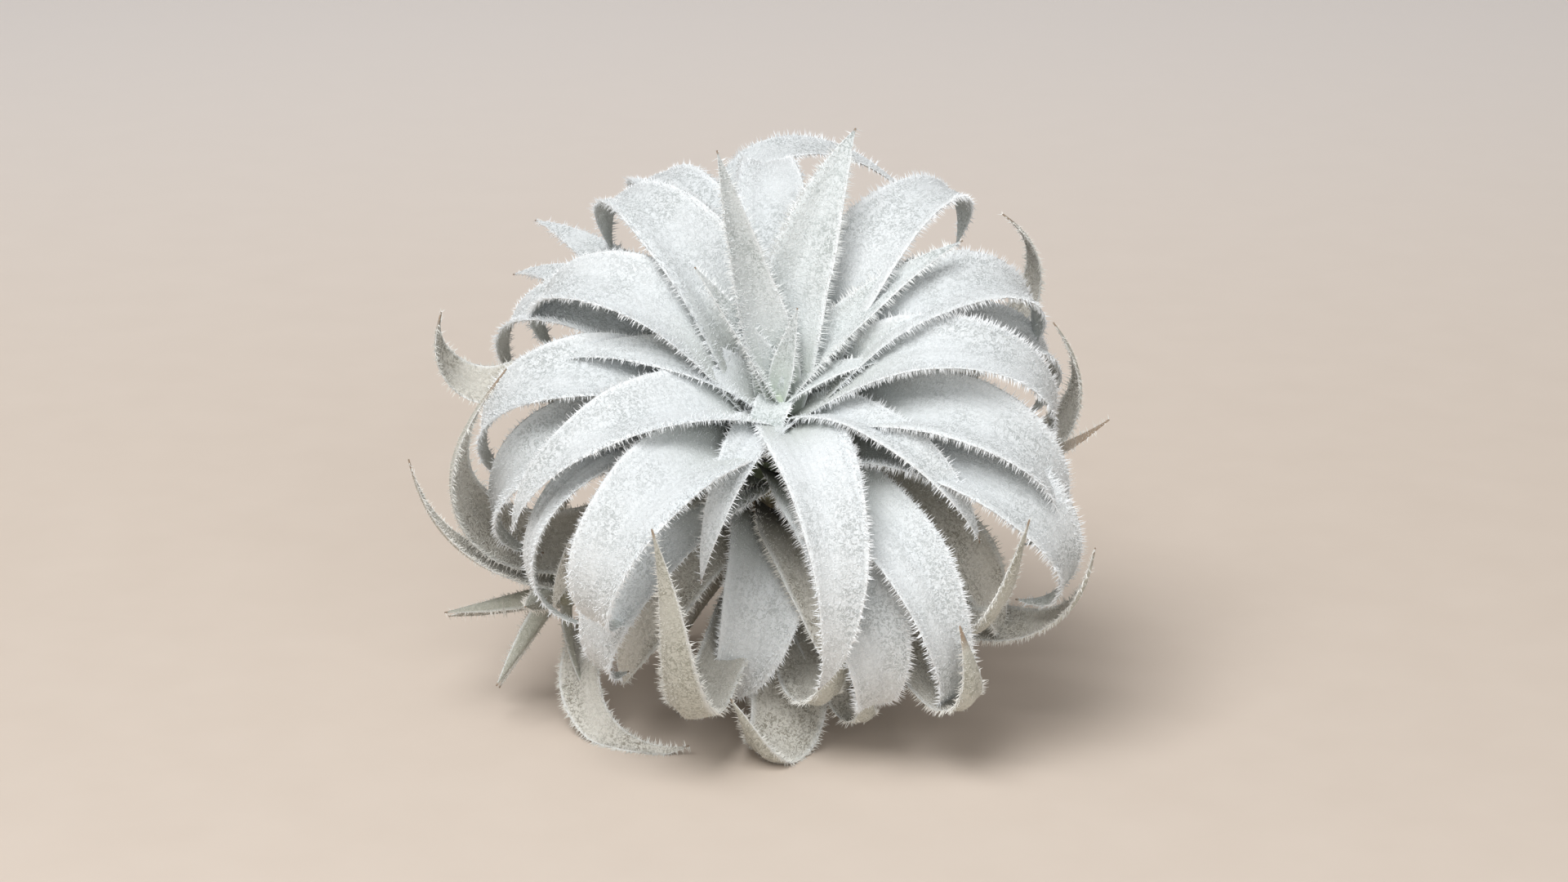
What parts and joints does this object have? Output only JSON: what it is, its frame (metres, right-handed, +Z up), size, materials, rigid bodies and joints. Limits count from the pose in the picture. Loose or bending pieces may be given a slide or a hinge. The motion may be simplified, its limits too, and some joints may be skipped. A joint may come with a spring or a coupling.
{
  "type": "tillandsia air plant",
  "caption": "Silver rosette air plant with broad arching felted leaves in a ball, lying on its oldest leaves.",
  "frame": {"origin": "centre of the plant's outline on the ground that it lies on", "axes": "+Z up, the rosette faces -Y and leans forward from +Z towards -Y, +X to its right as seen from the front"},
  "size_m": [0.1228, 0.105, 0.1083],
  "materials": {
    "silver_leaf": "matte",
    "old_leaf": "matte",
    "dry_stem": "matte"
  },
  "bodies": {
    "root": {"stem": "dry_stem", "heart": "silver_leaf", "spear_leaf_1": "silver_leaf", "spear_leaf_2": "silver_leaf", "spear_leaf_3": "silver_leaf", "spear_leaf_4": "silver_leaf", "young_leaf_1": "silver_leaf", "young_leaf_2": "silver_leaf", "young_leaf_3": "silver_leaf", "young_leaf_4": "silver_leaf", "young_leaf_5": "silver_leaf", "arching_leaf_1": "silver_leaf", "arching_leaf_2": "silver_leaf", "arching_leaf_3": "silver_leaf", "arching_leaf_4": "silver_leaf", "arching_leaf_5": "silver_leaf", "arching_leaf_6": "silver_leaf", "arching_leaf_7": "silver_leaf", "arching_leaf_8": "silver_leaf", "arching_leaf_9": "silver_leaf", "arching_leaf_10": "silver_leaf", "arching_leaf_11": "silver_leaf", "arching_leaf_12": "silver_leaf", "arching_leaf_13": "silver_leaf", "arching_leaf_14": "silver_leaf", "arching_leaf_15": "silver_leaf", "arching_leaf_16": "silver_leaf", "arching_leaf_17": "silver_leaf", "arching_leaf_18": "silver_leaf", "arching_leaf_19": "silver_leaf", "arching_leaf_20": "silver_leaf", "arching_leaf_21": "silver_leaf", "arching_leaf_22": "silver_leaf", "offset": "silver_leaf", "lower_leaf_1": "old_leaf", "lower_leaf_2": "old_leaf", "lower_leaf_3": "old_leaf", "lower_leaf_4": "old_leaf", "lower_leaf_5": "old_leaf", "lower_leaf_6": "old_leaf", "lower_leaf_7": "old_leaf", "lower_leaf_8": "old_leaf", "lower_leaf_9": "old_leaf", "lower_leaf_10": "old_leaf", "lower_leaf_11": "old_leaf", "curled_leaf_1": "old_leaf", "curled_leaf_2": "old_leaf", "curled_leaf_3": "old_leaf", "curled_leaf_4": "old_leaf", "curled_leaf_5": "old_leaf", "curled_leaf_6": "old_leaf", "curled_leaf_7": "old_leaf", "curled_leaf_8": "old_leaf", "curled_leaf_9": "old_leaf", "curled_leaf_10": "old_leaf", "curled_leaf_11": "old_leaf", "curled_leaf_12": "old_leaf", "curled_leaf_13": "old_leaf", "curled_leaf_14": "old_leaf", "base_leaves": "old_leaf"}
  },
  "joints": []
}
